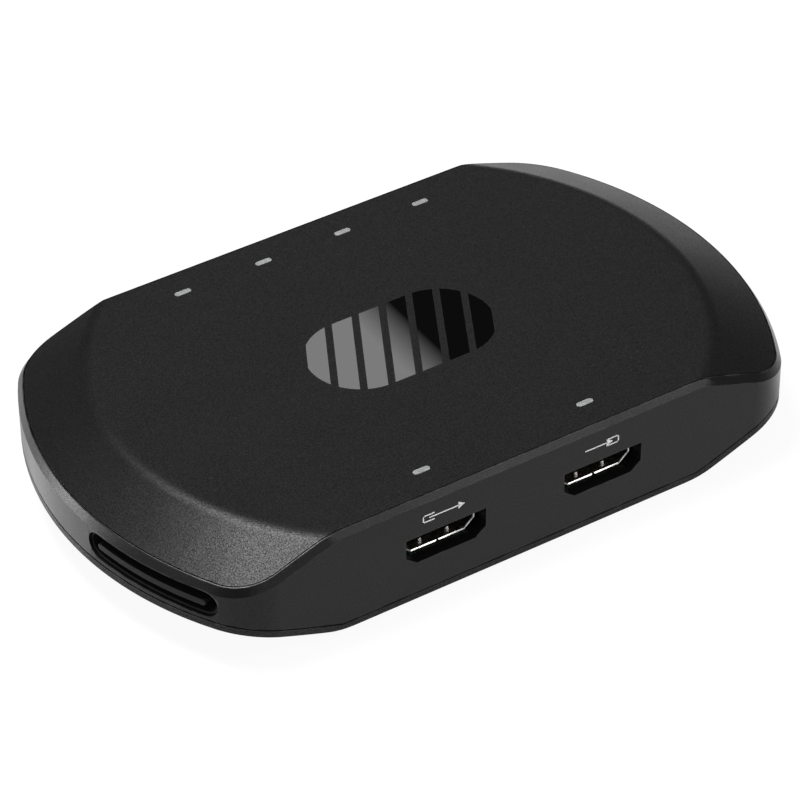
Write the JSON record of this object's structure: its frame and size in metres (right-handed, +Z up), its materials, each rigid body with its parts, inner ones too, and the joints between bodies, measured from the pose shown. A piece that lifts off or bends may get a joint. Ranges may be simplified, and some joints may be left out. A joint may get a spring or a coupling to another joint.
{
  "type": "video capture box",
  "caption": "Low rounded video capture box with sloping ends, two video sockets, status lamps, side vents and a rear push button.",
  "frame": {"origin": "under the middle of the housing, on the plane that the feet stand on", "axes": "+Z up; -Y out of the front, where the two video sockets are; +X to the right as seen from the front, along the box's length"},
  "size_m": [0.1308, 0.0766, 0.0214],
  "materials": {
    "cover_plastic": "fine matte grain",
    "base_plastic": "fine matte grain",
    "frame_plastic": "satin",
    "vent_plastic": "satin",
    "inlay_gloss": "polished",
    "light_pipe": "milky clear",
    "foot_rubber": "matt",
    "screw_steel": "dark plated",
    "board_laminate": "lacquered laminate",
    "socket_metal": "tin plated",
    "socket_plastic": "moulded",
    "contact_metal": "gold plated",
    "button_plastic": "satin",
    "chip_plastic": "moulded",
    "coil_ferrite": "sintered",
    "pad_rubber": "soft",
    "sink_aluminium": "dark anodised",
    "pin_plastic": "natural",
    "can_aluminium": "drawn can",
    "lamp_body": "clear resin"
  },
  "bodies": {
    "housing": {"top_cover": "cover_plastic", "bottom_cover": "base_plastic", "side_frame": "frame_plastic", "left_vent_insert": "vent_plastic", "right_vent_insert": "vent_plastic", "top_inlay": "inlay_gloss", "back_light_pipes": "light_pipe", "front_light_pipes": "light_pipe", "foot_front_left": "foot_rubber", "foot_front_right": "foot_rubber", "foot_back_left": "foot_rubber", "foot_back_right": "foot_rubber", "housing_screws": "screw_steel", "board_screws": "screw_steel", "lamp_board_screws": "screw_steel", "main_board": "board_laminate", "back_lamp_board": "board_laminate", "front_lamp_board": "board_laminate", "video_out_shell": "socket_metal", "video_in_shell": "socket_metal", "data_shell": "socket_metal", "small_data_shell": "socket_metal", "network_shell": "socket_metal", "video_out_tongue": "socket_plastic", "video_in_tongue": "socket_plastic", "data_tongue": "socket_plastic", "small_data_tongue": "socket_plastic", "network_insert": "socket_plastic", "power_jack_body": "socket_plastic", "switch_body": "socket_plastic", "board_headers": "socket_plastic", "video_out_contacts": "contact_metal", "video_in_contacts": "contact_metal", "data_contacts": "contact_metal", "small_data_contacts": "contact_metal", "network_contacts": "contact_metal", "power_jack_pin": "contact_metal", "power_jack_leaf": "contact_metal", "processor": "chip_plastic", "memory_chips": "chip_plastic", "storage_chip": "chip_plastic", "video_out_chip": "chip_plastic", "video_in_chip": "chip_plastic", "network_transformer": "chip_plastic", "power_coils": "coil_ferrite", "thermal_pad": "pad_rubber", "heat_sink": "sink_aluminium", "sink_pins": "pin_plastic", "capacitors": "can_aluminium", "crystal": "socket_metal", "back_status_lamps": "lamp_body", "front_status_lamps": "lamp_body"},
    "button": {"button_cap": "button_plastic", "switch_plunger": "button_plastic"}
  },
  "joints": [
    {"name": "button_press", "type": "slide", "parent": "housing", "child": "button", "axis": [0, -1, 0], "range_m": [0, 0.0007], "stiffness_N_per_m": 250}
  ]
}
